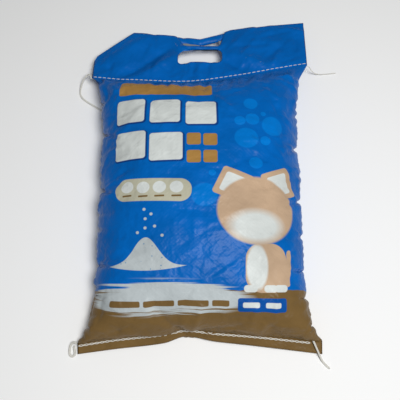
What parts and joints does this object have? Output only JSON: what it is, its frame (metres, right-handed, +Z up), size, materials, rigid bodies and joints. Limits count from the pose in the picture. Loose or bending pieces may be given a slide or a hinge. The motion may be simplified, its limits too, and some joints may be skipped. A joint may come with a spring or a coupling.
{
  "type": "cat litter bag",
  "caption": "Filled sewn sack of laminated woven plastic lying on its back, with a die-cut carrying handle in the loose band above its top seam.",
  "frame": {"origin": "middle of the bag's box in plan, on the surface that it lies on", "axes": "+Z up out of the printed front, +Y along the sack towards its carrying band, +X to the right as the front is read"},
  "size_m": [0.3664, 0.4882, 0.095],
  "materials": {
    "sack": "laminated woven polypropylene, satin gloss, printed blue and tan",
    "thread": "spun polyester sewing thread"
  },
  "bodies": {
    "root": {"bag": "sack", "top_needle_thread": "thread", "top_looper_thread": "thread", "bottom_looper_thread": "thread", "bottom_needle_thread": "thread", "top_left_tail": "thread", "top_right_tail": "thread", "bottom_left_tail": "thread", "bottom_right_tail": "thread"}
  },
  "joints": []
}
